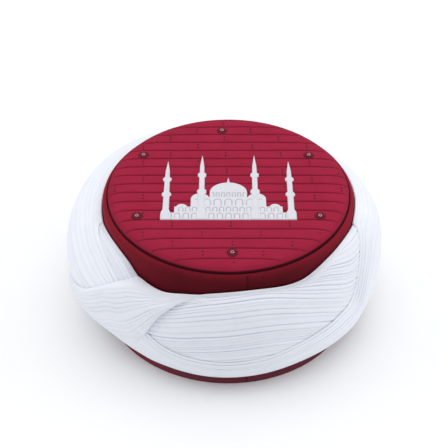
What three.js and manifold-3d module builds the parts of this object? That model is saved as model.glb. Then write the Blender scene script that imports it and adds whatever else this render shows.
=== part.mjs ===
// A turban: a stiff burgundy cap with a domed, quilted crown, and a long white pleated cloth wound round it
// in three passes that cross. Millimetres, +Z up. The front faces -Y and +X is on the viewer's right.
// A turn is an angle round the cap in degrees: 0 at the front, 90 at the right, 180 at the back.
import * as THREE from "three";
import { mergeVertices } from "three/addons/utils/BufferGeometryUtils.js";
import Module from "manifold-3d";

// Clearances
const clearance = 0.3; // between neighbouring pieces

// Cap wall
const rimRadius = 95; // outer radius at the rim, for a head of 57 cm
const wallThickness = 3.5;
const wallHeight = 96; // from the rim to the start of the rounded shoulder
const wallLean = 3.4; // how much narrower the wall is at the shoulder than at the rim
const shoulderRise = 5.2; // from the shoulder up to the crown seam
const seamInset = 3.8; // from the shoulder in to the crown seam
const rimRounding = 0.8; // rounded outer edge of the rim

// Crown panel
const crownRise = 7; // height of the dome over its seam
const crownFlatness = 6; // a higher power keeps the dome flat further out
const crownThickness = 6; // padding and cloth at the centre
const crownEdgeThickness = 3.6; // where it meets the wall
const rowPitch = 10.05; // distance between the lines of quilting
const rowOffset = 2.4; // from the axis back to the nearest line
const grooveDepth = 0.9; // of a quilting line
const grooveHalfWidth = 1.2;
const grooveFade = 8; // a higher power keeps the lines deep further out

// Eyelets
const eyeletCircleRadius = 71.5;
const eyeletFlangeRadius = 2.1;
const eyeletShankRadius = 1.4;
const eyeletBoreRadius = 0.9;
const eyeletFlangeThickness = 0.7;
const eyeletShankLength = 4;

// Mosque embroidery
const mosqueHalfWidth = 48;
const mosqueBaseLine = -38.5; // its base is this far along Y from the cap's axis
const mosqueHeight = 74; // up to the tip of the tallest minaret
const stitchThickness = 0.9; // of the raised satin stitch
const minaretHalfWidth = 3.4; // at the widest balcony

// Wrap
const innerRoll = 14; // how far the first pass stands off the wall
const outerRoll = 27; // how far the second pass stands off the wall
const crossRoll = 27; // how far the third pass stands off the wall
const lipThickness = 1.8; // of a pass at its long edges
const pleatDepth = 0.9; // of the main pleats
const innerPleats = 7;
const outerPleats = 5;
const crossPleats = 5;
const bulgeFullness = 2.2; // 2 is an ellipse, and more is fuller
const pleatCrowding = 0.65; // how much closer the pleats lie near the edges of a pass, from 0 to 1

// Mesh steps
const roundSteps = 60; // round the cap and along the wraps
const smallSteps = 10; // round an eyelet
const crownCrossSteps = 10; // along a row of the crown
const crossSteps = 27; // along the third pass
const layerSteps = 24; // round the embroidery's layer

const shoulderRadius = rimRadius - wallLean;
const seamRadius = shoulderRadius - seamInset;
const seamHeight = wallHeight + shoulderRise;
const degree = Math.PI / 180;

const wasm = await Module();
wasm.setup();

function wallRadius(height) {
  return rimRadius - (wallLean * height) / wallHeight;
}

function domeHeight(radius) {
  const share = Math.min(radius / seamRadius, 1);
  return seamHeight + crownRise * Math.sqrt(1 - share ** crownFlatness);
}

function onTurn(turn, radius, height) {
  return [radius * Math.sin(turn * degree), -radius * Math.cos(turn * degree), height];
}

// A closed surface from points and triangles. Triangles that have shrunk to a line are dropped.
function closedSurface(points, triangles) {
  const raw = new THREE.BufferGeometry();
  raw.setAttribute("position", new THREE.Float32BufferAttribute(points.flat(), 3));
  raw.setIndex(triangles.flat());
  const merged = mergeVertices(raw, 1e-3);
  const index = merged.index.array;
  const kept = [];
  for (let i = 0; i < index.length; i += 3) {
    const [a, b, c] = [index[i], index[i + 1], index[i + 2]];
    if (a !== b && b !== c && c !== a) kept.push(a, b, c);
  }
  merged.setIndex(kept);
  return merged;
}

function toSolid(geometry) {
  const bare = geometry.clone();
  bare.deleteAttribute("normal");
  bare.deleteAttribute("uv");
  const merged = mergeVertices(bare, 1e-3);
  return new wasm.Manifold(
    new wasm.Mesh({
      numProp: 3,
      vertProperties: merged.attributes.position.array,
      triVerts: new Uint32Array(merged.index.array),
    }),
  );
}

function toGeometry(solid) {
  const mesh = solid.getMesh();
  const geometry = new THREE.BufferGeometry();
  geometry.setAttribute("position", new THREE.BufferAttribute(mesh.vertProperties, 3));
  geometry.setIndex(new THREE.BufferAttribute(mesh.triVerts, 1));
  geometry.computeVertexNormals();
  return geometry;
}

// The largest body of a cut solid. What a cut leaves loose is only cloth trapped under a lower pass.
function largestBody(solid) {
  return solid.decompose().reduce((best, body) => (body.volume() > best.volume() ? body : best));
}

// Cap

// A solid of revolution from a closed outline of [radius, height] pairs, listed inner side first, going up.
function turned(outline, steps) {
  const closed = [...outline, outline[0]].map(([radius, height]) => new THREE.Vector2(radius, height));
  const lathe = new THREE.LatheGeometry(closed, steps);
  lathe.rotateX(Math.PI / 2);
  return lathe;
}

function capWallGeometry() {
  const innerTop = seamRadius + clearance / 2;
  const shoulder = [0.25, 0.5, 0.75].map((share) => {
    const angle = (share * Math.PI) / 2;
    const radius = shoulderRadius - (seamInset - clearance / 2) * (1 - Math.cos(angle));
    return [radius, wallHeight + shoulderRise * Math.sin(angle)];
  });
  return turned(
    [
      [rimRadius - rimRounding, 0],
      [rimRadius, rimRounding],
      [wallRadius(wallHeight / 2), wallHeight / 2],
      [shoulderRadius, wallHeight],
      ...shoulder,
      [innerTop, seamHeight],
      [innerTop, seamHeight - crownEdgeThickness],
      [shoulderRadius - wallThickness, wallHeight],
      [rimRadius - wallThickness, 0],
    ],
    roundSteps,
  );
}

// Where the lines of quilting cross the Y axis, from the back to the front
function rowLines() {
  const last = Math.floor((seamRadius - rowOffset) / rowPitch);
  const first = -Math.floor((seamRadius + rowOffset) / rowPitch);
  const lines = [];
  for (let k = last; k >= first; k -= 1) lines.push(rowOffset + k * rowPitch);
  return lines.filter((y) => seamRadius - Math.abs(y) > grooveHalfWidth * 2);
}

function crownTop(x, y) {
  const radius = Math.min(Math.hypot(x, y), seamRadius);
  const nearest = Math.round((y - rowOffset) / rowPitch) * rowPitch + rowOffset;
  const groove = Math.max(0, 1 - Math.abs(y - nearest) / grooveHalfWidth);
  const fade = 1 - (radius / seamRadius) ** grooveFade;
  return domeHeight(radius) - grooveDepth * groove * fade;
}

function crownPanelSolid() {
  const edge = seamRadius - clearance / 2;
  const stations = new Set([edge, -edge]);
  for (const line of rowLines()) {
    for (const offset of [grooveHalfWidth, 0, -grooveHalfWidth]) {
      if (Math.abs(line + offset) < edge - grooveHalfWidth) stations.add(line + offset);
    }
  }
  const rows = [...stations].sort((a, b) => a - b);
  const points = [];
  const triangles = [];
  const rowPoint = (i, j) => i * (crownCrossSteps + 1) + j;
  rows.forEach((y) => {
    const reach = Math.sqrt(Math.max(edge * edge - y * y, 0));
    for (let j = 0; j <= crownCrossSteps; j += 1) {
      const x = -reach * Math.cos((Math.PI * j) / crownCrossSteps);
      points.push([x, y, crownTop(x, y)]);
    }
  });
  for (let i = 0; i + 1 < rows.length; i += 1) {
    for (let j = 0; j < crownCrossSteps; j += 1) {
      triangles.push([rowPoint(i, j), rowPoint(i, j + 1), rowPoint(i + 1, j + 1)]);
      triangles.push([rowPoint(i, j), rowPoint(i + 1, j + 1), rowPoint(i + 1, j)]);
    }
  }
  // The rim, going round once, then rings that close the underside, as shares of its radius
  const rim = rows.map((_, i) => rowPoint(i, crownCrossSteps));
  for (let i = rows.length - 2; i > 0; i -= 1) rim.push(rowPoint(i, 0));
  let above = rim;
  [1, 0.8, 0.45, 0].forEach((share) => {
    const ring = rim.map((index) => {
      const [x, y] = points[index];
      const radius = share * edge;
      const inner = domeHeight(radius) - crownThickness;
      points.push([x * share, y * share, Math.max(inner, seamHeight - crownEdgeThickness)]);
      return points.length - 1;
    });
    ring.forEach((lower, i) => {
      const next = (i + 1) % ring.length;
      triangles.push([above[i], lower, ring[next]]);
      triangles.push([above[i], ring[next], above[next]]);
    });
    above = ring;
  });
  return toSolid(closedSurface(points, triangles));
}

// Eyelets, set by hand a little off a true ring: turn, and place as a share of eyeletCircleRadius
const eyeletRows = [
  { turn: 2, out: 1.02 },
  { turn: 62, out: 1.02 },
  { turn: 121, out: 0.98 },
  { turn: 184, out: 0.94 },
  { turn: 240, out: 1.02 },
  { turn: 298, out: 1.02 },
];

// Where an eyelet's flange rests on the crown
function eyeletSeat({ turn: place, out }) {
  const [x, y] = onTurn(place, out * eyeletCircleRadius, 0);
  const around = [0, 60, 120, 180, 240, 300].map((turn) => {
    const [dx, dy] = onTurn(turn, eyeletFlangeRadius, 0);
    return crownTop(x + dx, y + dy);
  });
  return new THREE.Vector3(x, y, Math.max(crownTop(x, y), ...around) + clearance);
}

function eyeletGeometry() {
  return turned(
    [
      [eyeletShankRadius, -eyeletShankLength],
      [eyeletShankRadius, 0],
      [eyeletFlangeRadius, 0],
      [(eyeletFlangeRadius + eyeletBoreRadius) / 2, eyeletFlangeThickness],
      [eyeletBoreRadius, 0],
      [eyeletBoreRadius, -eyeletShankLength],
    ],
    smallSteps,
  );
}

function pierceCrown(crown) {
  let pierced = crown;
  for (const row of eyeletRows) {
    const seat = eyeletSeat(row);
    const holeRadius = eyeletShankRadius + clearance;
    const hole = new THREE.CylinderGeometry(holeRadius, holeRadius, 4 * crownThickness, smallSteps);
    hole.rotateX(Math.PI / 2);
    hole.translate(seat.x, seat.y, seat.z);
    pierced = pierced.subtract(toSolid(hole));
  }
  return pierced;
}

// Mosque embroidery: a symmetrical elevation, as shares of its half width and its height

// Minaret outlines: height up the minaret, half width as a share of minaretHalfWidth
const minaretProfile = [
  { up: 0, half: 1 },
  { up: 0.13, half: 1 },
  { up: 0.16, half: 0.68 },
  { up: 0.38, half: 0.66 },
  { up: 0.4, half: 1 },
  { up: 0.44, half: 1 },
  { up: 0.46, half: 0.6 },
  { up: 0.64, half: 0.58 },
  { up: 0.66, half: 0.92 },
  { up: 0.7, half: 0.92 },
  { up: 0.72, half: 0.5 },
  { up: 0.82, half: 0.48 },
  { up: 1, half: 0.06 },
];

// Minarets: place across, height
const minarets = [
  { across: 0.925, height: 0.9 },
  { across: 0.4, height: 1 },
];

// Halls: half width, height of the wall
const halls = [
  { half: 1, height: 0.1 },
  { half: 0.8, height: 0.19 },
  { half: 0.56, height: 0.32 },
  { half: 0.28, height: 0.42 },
];

// Domes: place across, half width, height of their foot, rise
const domes = [
  { across: 0, half: 0.28, foot: 0.41, rise: 0.15 },
  { across: 0.42, half: 0.14, foot: 0.31, rise: 0.08 },
  { across: 0.69, half: 0.085, foot: 0.18, rise: 0.05 },
];

// The finial over the middle dome: half width, foot and tip
const finial = { half: 0.03, foot: 0.54, tip: 0.65 };

function uprightPrism(outline) {
  const shape = new THREE.Shape(outline.map(([x, y]) => new THREE.Vector2(x, y)));
  const prism = new THREE.ExtrudeGeometry(shape, { depth: 2 * crownRise, bevelEnabled: false });
  prism.translate(0, mosqueBaseLine, seamHeight);
  return toSolid(prism);
}

function mosquePieces() {
  const pieces = [];
  for (const hall of halls) {
    const half = hall.half * mosqueHalfWidth;
    const top = hall.height * mosqueHeight;
    pieces.push([
      [-half, 0],
      [half, 0],
      [half, top],
      [-half, top],
    ]);
  }
  for (const dome of domes) {
    for (const side of dome.across ? [-1, 1] : [1]) {
      const outline = [];
      for (let step = 0; step <= smallSteps; step += 1) {
        const angle = (Math.PI * step) / smallSteps;
        const x = side * dome.across * mosqueHalfWidth + dome.half * mosqueHalfWidth * Math.cos(angle);
        outline.push([x, dome.foot * mosqueHeight + dome.rise * mosqueHeight * Math.sin(angle)]);
      }
      pieces.push(outline);
    }
  }
  pieces.push([
    [-finial.half * mosqueHalfWidth, finial.foot * mosqueHeight],
    [finial.half * mosqueHalfWidth, finial.foot * mosqueHeight],
    [0, finial.tip * mosqueHeight],
  ]);
  for (const minaret of minarets) {
    for (const side of [-1, 1]) {
      const centre = side * minaret.across * mosqueHalfWidth;
      const place = (row, sign) => [
        centre + sign * row.half * minaretHalfWidth,
        row.up * minaret.height * mosqueHeight,
      ];
      const right = minaretProfile.map((row) => place(row, 1));
      const left = minaretProfile.map((row) => place(row, -1)).reverse();
      pieces.push([...right, ...left]);
    }
  }
  return pieces;
}

function mosqueSolid() {
  const figure = mosquePieces()
    .map(uprightPrism)
    .reduce((whole, piece) => whole.add(piece));
  // A thin layer that follows the dome, as shares of the seam's radius
  const under = [0, 0.25, 0.45, 0.6, 0.7, 0.8, 0.9].map((share) => {
    const radius = share * seamRadius;
    return [radius, domeHeight(radius) + clearance];
  });
  const over = under.map(([radius, height]) => [radius, height + stitchThickness]).reverse();
  return figure.intersect(toSolid(turned([...under, ...over], layerSteps)));
}

// Wrap

// The two rings: turn; low and high edges as shares of wallHeight; roll as a share of the ring's own roll;
// belly, the place of the fattest part between the low edge (0) and the high edge (1); lowRest and highRest,
// how far the edges stand off the wall where they lie on a lower pass, as shares of innerRoll
const innerRows = [
  { turn: -180, low: 0.07, high: 0.76, roll: 1.05, belly: 0.45, lowRest: 0, highRest: 0 },
  { turn: -135, low: 0.07, high: 0.84, roll: 1.05, belly: 0.45, lowRest: 0, highRest: 0 },
  { turn: -90, low: 0.08, high: 0.89, roll: 0.95, belly: 0.45, lowRest: 0, highRest: 0 },
  { turn: -66, low: 0.1, high: 0.965, roll: 0.8, belly: 0.5, lowRest: 0, highRest: 0 },
  { turn: -50, low: 0.13, high: 0.93, roll: 0.75, belly: 0.5, lowRest: 0, highRest: 0 },
  { turn: -38, low: 0.15, high: 0.8, roll: 0.85, belly: 0.5, lowRest: 0, highRest: 0 },
  { turn: -24, low: 0.17, high: 0.81, roll: 1, belly: 0.48, lowRest: 0, highRest: 0 },
  { turn: -8, low: 0.18, high: 0.9, roll: 1, belly: 0.46, lowRest: 0, highRest: 0 },
  { turn: 10, low: 0.18, high: 0.93, roll: 1, belly: 0.45, lowRest: 0, highRest: 0 },
  { turn: 32, low: 0.17, high: 0.9, roll: 1, belly: 0.46, lowRest: 0, highRest: 0 },
  { turn: 48, low: 0.15, high: 0.96, roll: 0.95, belly: 0.48, lowRest: 0, highRest: 0 },
  { turn: 64, low: 0.13, high: 0.98, roll: 0.85, belly: 0.5, lowRest: 0, highRest: 0 },
  { turn: 90, low: 0.08, high: 0.9, roll: 0.75, belly: 0.5, lowRest: 0, highRest: 0 },
  { turn: 135, low: 0.07, high: 0.84, roll: 0.9, belly: 0.45, lowRest: 0, highRest: 0 },
];

const outerRows = [
  { turn: -180, low: 0.36, high: 0.97, roll: 0.74, belly: 0.6, lowRest: 0.9, highRest: 0 },
  { turn: -135, low: 0.37, high: 0.98, roll: 1.03, belly: 0.62, lowRest: 0.9, highRest: 0 },
  { turn: -90, low: 0.36, high: 0.955, roll: 0.98, belly: 0.58, lowRest: 0.9, highRest: 0 },
  { turn: -66, low: 0.28, high: 0.9, roll: 0.9, belly: 0.52, lowRest: 0.6, highRest: 0.2 },
  { turn: -50, low: 0.16, high: 0.78, roll: 0.68, belly: 0.48, lowRest: 0.2, highRest: 0.6 },
  { turn: -38, low: 0.1, high: 0.56, roll: 0.48, belly: 0.5, lowRest: 0, highRest: 0.85 },
  { turn: -24, low: 0.105, high: 0.42, roll: 0.48, belly: 0.52, lowRest: 0, highRest: 1 },
  { turn: -6, low: 0.1, high: 0.36, roll: 0.49, belly: 0.54, lowRest: 0, highRest: 1 },
  { turn: 12, low: 0.1, high: 0.38, roll: 0.49, belly: 0.54, lowRest: 0, highRest: 1 },
  { turn: 30, low: 0.11, high: 0.45, roll: 0.51, belly: 0.5, lowRest: 0, highRest: 1 },
  { turn: 48, low: 0.11, high: 0.49, roll: 0.6, belly: 0.48, lowRest: 0, highRest: 1 },
  { turn: 58, low: 0.12, high: 0.53, roll: 0.66, belly: 0.48, lowRest: 0.1, highRest: 0.95 },
  { turn: 66, low: 0.13, high: 0.78, roll: 0.72, belly: 0.5, lowRest: 0.2, highRest: 0.6 },
  { turn: 75, low: 0.15, high: 0.98, roll: 0.76, belly: 0.54, lowRest: 0.3, highRest: 0.1 },
  { turn: 95, low: 0.2, high: 1, roll: 0.78, belly: 0.6, lowRest: 0.5, highRest: 0 },
  { turn: 135, low: 0.3, high: 0.98, roll: 0.62, belly: 0.62, lowRest: 0.9, highRest: 0 },
];

// The third pass, from its start under the second at the back left to its end along the front panel: the turn
// of its lower and its upper edge, their heights as shares of wallHeight, how far each stands off the wall, and
// its roll, as shares of crossRoll
const crossRows = [
  { lowTurn: -160, low: 0.35, lowStand: 0.6, highTurn: -152, high: 0.41, highStand: 0.66, roll: 0.03 },
  { lowTurn: -138, low: 0.17, lowStand: 0.4, highTurn: -130, high: 0.42, highStand: 0.72, roll: 0.14 },
  { lowTurn: -106, low: 0.08, lowStand: 0.12, highTurn: -104, high: 0.415, highStand: 0.8, roll: 0.29 },
  { lowTurn: -78, low: 0.1, lowStand: 0.11, highTurn: -81, high: 0.455, highStand: 0.84, roll: 0.35 },
  { lowTurn: -59, low: 0.15, lowStand: 0.08, highTurn: -65, high: 0.555, highStand: 0.84, roll: 0.35 },
  { lowTurn: -46, low: 0.18, lowStand: 0.1, highTurn: -55.5, high: 0.69, highStand: 0.73, roll: 0.28 },
  { lowTurn: -37, low: 0.3, lowStand: 0.36, highTurn: -49, high: 0.785, highStand: 0.55, roll: 0.28 },
  { lowTurn: -33, low: 0.47, lowStand: 0.5, highTurn: -42, high: 0.86, highStand: 0.35, roll: 0.24 },
  { lowTurn: -29.5, low: 0.61, lowStand: 0.52, highTurn: -35.5, high: 0.845, highStand: 0.18, roll: 0.22 },
  { lowTurn: -25.5, low: 0.73, lowStand: 0.44, highTurn: -28.5, high: 0.835, highStand: 0.12, roll: 0.15 },
  { lowTurn: -18, low: 0.835, lowStand: 0.3, highTurn: -19, high: 0.865, highStand: 0.1, roll: 0.08 },
  { lowTurn: -6, low: 0.895, lowStand: 0.2, highTurn: -7, high: 0.91, highStand: 0.1, roll: 0.02 },
];

// Smooth curve through a column of a table. A ring's table starts again after 360 degrees.
function smooth(rows, column, key, at, isRing) {
  const known = rows.map((row) => [row[key], row[column]]);
  if (isRing) {
    const [firstTurn, firstValue] = known[0];
    const [secondTurn, secondValue] = known[1];
    const [lastTurn, lastValue] = known[known.length - 1];
    known.unshift([lastTurn - 360, lastValue]);
    known.push([firstTurn + 360, firstValue], [secondTurn + 360, secondValue]);
  }
  let i = 0;
  while (i < known.length - 2 && known[i + 1][0] <= at) i += 1;
  const slope = (j) => {
    const before = known[Math.max(j - 1, 0)];
    const after = known[Math.min(j + 1, known.length - 1)];
    return (after[1] - before[1]) / (after[0] - before[0]);
  };
  const [x0, y0] = known[i];
  const [x1, y1] = known[i + 1];
  const span = x1 - x0;
  const t = (at - x0) / span;
  const rise = 3 * t * t - 2 * t * t * t;
  return (
    y0 * (1 - rise) +
    y1 * rise +
    span * slope(i) * (t - 2 * t * t + t * t * t) +
    span * slope(i + 1) * (t * t * t - t * t)
  );
}

// The rounded section of a pass: 0 at its edges and 1 at its belly
function bulge(across, belly) {
  const t = across < belly ? (belly - across) / belly : (across - belly) / (1 - belly);
  return Math.sqrt(Math.max(0, 1 - Math.abs(t) ** bulgeFullness));
}

// Places across a pass: close together at the edges, with a crest and a valley for each main pleat
function acrossSteps(pleats) {
  const steps = [];
  for (let k = 0; k <= 2 * pleats; k += 1) {
    const share = k / (2 * pleats);
    const rounded = 0.5 - 0.5 * Math.cos(Math.PI * share);
    const across = share + (rounded - share) * pleatCrowding;
    steps.push({ across, valley: k % 2 === 0 });
  }
  return steps;
}

// The section of a ring at a turn: its edges, its belly and how far each stands off the wall
function ringShape(pass, turn) {
  const row = (column) => smooth(pass.rows, column, "turn", turn, true);
  const lowRest = Math.max(0, row("lowRest")) * innerRoll;
  const highRest = Math.max(0, row("highRest")) * innerRoll;
  const belly = row("belly");
  const rise = row("roll") * pass.roll - lipThickness - lowRest * (1 - belly) - highRest * belly;
  return { low: row("low") * wallHeight, high: row("high") * wallHeight, lowRest, highRest, belly, rise };
}

function ringStand(shape, across) {
  const rest = shape.lowRest + (shape.highRest - shape.lowRest) * across;
  return rest + lipThickness + shape.rise * bulge(across, shape.belly);
}

// How far a ring's face stands off the wall at a height, or 0 above and below the ring
function standAt(pass, turn, height) {
  const shape = ringShape(pass, turn);
  const across = (height - shape.low) / (shape.high - shape.low);
  return across < 0 || across > 1 ? 0 : ringStand(shape, across);
}

function ringSection(pass, turn) {
  const shape = ringShape(pass, turn);
  return acrossSteps(pass.pleats).map(({ across, valley }) => {
    const height = shape.low + (shape.high - shape.low) * across;
    const pleat = valley ? -pleatDepth * bulge(across, shape.belly) : 0;
    return { turn, height, stand: ringStand(shape, across), pleat };
  });
}

// One section of the crossing pass, which always covers the rings. at counts the rows from its start.
function crossSection(pass, at) {
  const rows = pass.rows.map((row, order) => ({ ...row, order }));
  const row = (column) => smooth(rows, column, "order", at, false);
  return acrossSteps(pass.pleats).map(({ across, valley }) => {
    const turn = row("lowTurn") + (row("highTurn") - row("lowTurn")) * across;
    const height = (row("low") + (row("high") - row("low")) * across) * wallHeight;
    const edge = row("lowStand") + (row("highStand") - row("lowStand")) * across;
    const own = (edge + row("roll") * bulge(across, 0.5)) * crossRoll;
    const covered = Math.max(...pass.over.map((ring) => standAt(ring, turn, height)));
    const pleat = valley ? -pleatDepth * bulge(across, 0.5) : 0;
    return { turn, height, stand: Math.max(own, covered + lipThickness), pleat };
  });
}

// The solid of a pass, from just off the wall out to its pleated face. grow makes it fatter all round and
// fills its pleats, which gives the room that a pass lying over it has to leave.
function passSolid(pass, grow) {
  const count = pass.isRing ? roundSteps : pass.steps;
  const stations = pass.isRing ? count : count + 1;
  const points = [];
  const triangles = [];
  let loop = 0;
  for (let i = 0; i < stations; i += 1) {
    const section = pass.isRing
      ? ringSection(pass, -180 + (360 * i) / count)
      : crossSection(pass, ((pass.rows.length - 1) * i) / count);
    const face = section.map(({ turn, height, stand, pleat }, k) => {
      const edge = k === 0 ? -grow : k === section.length - 1 ? grow : 0;
      const radius = wallRadius(height) + clearance + stand + (grow ? grow : pleat);
      return onTurn(turn, radius, height + edge);
    });
    const back = [section[section.length - 1], section[0]].map(({ turn, height }, k) => {
      const edge = k === 0 ? grow : -grow;
      return onTurn(turn, wallRadius(height) + pass.back - grow, height + edge);
    });
    const ring = [...face, ...back];
    loop = ring.length;
    points.push(...ring);
  }
  for (let i = 0; i < count; i += 1) {
    const next = (i + 1) % stations;
    for (let k = 0; k < loop; k += 1) {
      const a = i * loop + k;
      const b = i * loop + ((k + 1) % loop);
      const c = next * loop + ((k + 1) % loop);
      const d = next * loop + k;
      triangles.push([a, d, c], [a, c, b]);
    }
  }
  if (!pass.isRing) {
    for (let k = 1; k + 1 < loop; k += 1) {
      const last = (stations - 1) * loop;
      triangles.push([0, k, k + 1], [last, last + k + 1, last + k]);
    }
  }
  return toSolid(closedSurface(points, triangles));
}

// back is how far the hidden side of a pass stays off the wall
const innerPass = { rows: innerRows, roll: innerRoll, pleats: innerPleats, isRing: true, back: clearance };
const outerPass = { rows: outerRows, roll: outerRoll, pleats: outerPleats, isRing: true, back: clearance };
const crossPass = {
  rows: crossRows,
  pleats: crossPleats,
  isRing: false,
  back: lipThickness,
  steps: crossSteps,
  over: [innerPass, outerPass],
};

const innerSolid = passSolid(innerPass, 0);
const innerRoom = passSolid(innerPass, clearance);
const outerSolid = largestBody(passSolid(outerPass, 0).subtract(innerRoom));
const outerRoom = passSolid(outerPass, clearance);
const crossSolid = largestBody(passSolid(crossPass, 0).subtract(innerRoom).subtract(outerRoom));

// Assembly

function clothMaterial(color) {
  return new THREE.MeshStandardMaterial({ color, roughness: 0.85, metalness: 0 });
}

const burgundy = clothMaterial(0x9c2a42);
const darkBurgundy = clothMaterial(0x8a2238);
const whiteCloth = clothMaterial(0xeef0f6);
const whiteThread = new THREE.MeshStandardMaterial({ color: 0xe9eaf0, roughness: 0.6, metalness: 0 });
const eyeletMetal = new THREE.MeshStandardMaterial({ color: 0xb9aeb0, roughness: 0.35, metalness: 1 });

function named(name, geometry, material) {
  const mesh = new THREE.Mesh(geometry, material);
  mesh.name = name;
  return mesh;
}

const turban = new THREE.Group();
turban.add(
  named("cap_wall", capWallGeometry(), darkBurgundy),
  named("crown_panel", toGeometry(pierceCrown(crownPanelSolid())), burgundy),
  named("mosque_embroidery", toGeometry(mosqueSolid()), whiteThread),
  named("wrap_inner", toGeometry(innerSolid), whiteCloth),
  named("wrap_outer", toGeometry(outerSolid), whiteCloth),
  named("wrap_cross", toGeometry(crossSolid), whiteCloth),
);
eyeletRows.forEach((row, i) => {
  const eyelet = named(`eyelet_${i + 1}`, eyeletGeometry(), eyeletMetal);
  eyelet.position.copy(eyeletSeat(row));
  turban.add(eyelet);
});

// The wrap is fuller at the left and the back. The group is set so that the origin is the middle of its base.
turban.updateMatrixWorld(true);
const middle = new THREE.Box3().setFromObject(turban, true).getCenter(new THREE.Vector3());
turban.position.set(-middle.x, -middle.y, 0);

export default turban;
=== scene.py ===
import math

import bpy
import numpy as np
from mathutils import Euler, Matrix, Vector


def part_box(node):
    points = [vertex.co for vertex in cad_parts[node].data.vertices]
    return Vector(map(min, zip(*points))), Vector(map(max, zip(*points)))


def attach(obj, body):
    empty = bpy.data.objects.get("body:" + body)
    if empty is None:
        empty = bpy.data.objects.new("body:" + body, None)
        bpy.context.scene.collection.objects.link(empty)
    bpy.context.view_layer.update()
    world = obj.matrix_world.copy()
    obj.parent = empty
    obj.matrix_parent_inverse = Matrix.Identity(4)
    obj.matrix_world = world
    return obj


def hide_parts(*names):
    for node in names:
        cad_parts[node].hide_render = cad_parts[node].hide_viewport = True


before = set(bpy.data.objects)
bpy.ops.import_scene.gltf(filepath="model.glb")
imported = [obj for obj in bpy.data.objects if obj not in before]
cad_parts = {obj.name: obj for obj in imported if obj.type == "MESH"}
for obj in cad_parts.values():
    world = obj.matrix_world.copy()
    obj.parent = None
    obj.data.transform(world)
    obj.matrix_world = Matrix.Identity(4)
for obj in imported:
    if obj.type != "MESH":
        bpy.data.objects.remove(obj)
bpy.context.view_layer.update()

MM = 0.001
wall_low, wall_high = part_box("cap_wall")
axis_x = (wall_low.x + wall_high.x) / 2 / MM
axis_y = (wall_low.y + wall_high.y) / 2 / MM

# Cap
rim_radius = (wall_high.x - wall_low.x) / 2 / MM
wall_thickness = 3.5
wall_height = 96
wall_lean = 3.4
shoulder_rise = 5.2
seam_inset = 3.8
rim_rounding = 0.9
clearance = 0.3
crown_rise = 6
crown_flatness = 16
crown_thickness = 6
crown_edge_thickness = 3.6
row_pitch = 10.05
row_offset = 2.4
shoulder_radius = rim_radius - wall_lean
seam_radius = shoulder_radius - seam_inset
seam_height = wall_height + shoulder_rise

# Embroidery
figure_half_width = 48
figure_base = -38.5
figure_height = 74
minaret_half_width = 3.4

# Wrap
inner_roll = 14
outer_roll = 27
cross_roll = 27
lip_thickness = 1.8
bulge_fullness = 2.2


def table(columns, rows):
    """A table as a dictionary of its columns."""
    return dict(zip(columns, np.array(rows, float).T))


def value_at(pairs, place):
    """The value at a place, from pairs of a place and a value, and level beyond the last of them."""
    places, values = zip(*pairs)
    return np.interp(place, places, values)


RING_COLUMNS = ("turn", "low", "high", "roll", "belly", "low_rest", "high_rest")
INNER_ROWS = table(RING_COLUMNS, [
    (-180, 0.07, 0.76, 1.05, 0.45, 0, 0),
    (-135, 0.07, 0.84, 1.05, 0.45, 0, 0),
    (-90, 0.08, 0.89, 0.95, 0.45, 0, 0),
    (-66, 0.1, 0.965, 0.8, 0.5, 0, 0),
    (-50, 0.13, 0.93, 0.75, 0.5, 0, 0),
    (-38, 0.15, 0.8, 0.85, 0.5, 0, 0),
    (-24, 0.17, 0.81, 1, 0.48, 0, 0),
    (-8, 0.18, 0.9, 1, 0.46, 0, 0),
    (10, 0.18, 0.93, 1, 0.45, 0, 0),
    (32, 0.17, 0.9, 1, 0.46, 0, 0),
    (48, 0.15, 0.96, 0.95, 0.48, 0, 0),
    (64, 0.13, 0.98, 0.85, 0.5, 0, 0),
    (90, 0.08, 0.9, 0.75, 0.5, 0, 0),
    (135, 0.07, 0.84, 0.9, 0.45, 0, 0),
])
OUTER_ROWS = table(RING_COLUMNS, [
    (-180, 0.36, 0.97, 0.74, 0.6, 0.9, 0),
    (-135, 0.37, 0.98, 1.03, 0.62, 0.9, 0),
    (-90, 0.36, 0.955, 0.98, 0.58, 0.9, 0),
    (-66, 0.28, 0.9, 0.9, 0.52, 0.6, 0.2),
    (-50, 0.16, 0.78, 0.68, 0.48, 0.2, 0.6),
    (-38, 0.1, 0.56, 0.48, 0.5, 0, 0.85),
    (-24, 0.105, 0.42, 0.48, 0.52, 0, 1),
    (-6, 0.1, 0.36, 0.49, 0.54, 0, 1),
    (12, 0.1, 0.38, 0.49, 0.54, 0, 1),
    (30, 0.11, 0.45, 0.51, 0.5, 0, 1),
    (48, 0.11, 0.49, 0.6, 0.48, 0, 1),
    (58, 0.12, 0.53, 0.66, 0.48, 0.1, 0.95),
    (66, 0.13, 0.78, 0.72, 0.5, 0.2, 0.6),
    (75, 0.15, 0.98, 0.76, 0.54, 0.3, 0.1),
    (95, 0.2, 1, 0.78, 0.6, 0.5, 0),
    (135, 0.3, 0.98, 0.62, 0.62, 0.9, 0),
])
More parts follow.
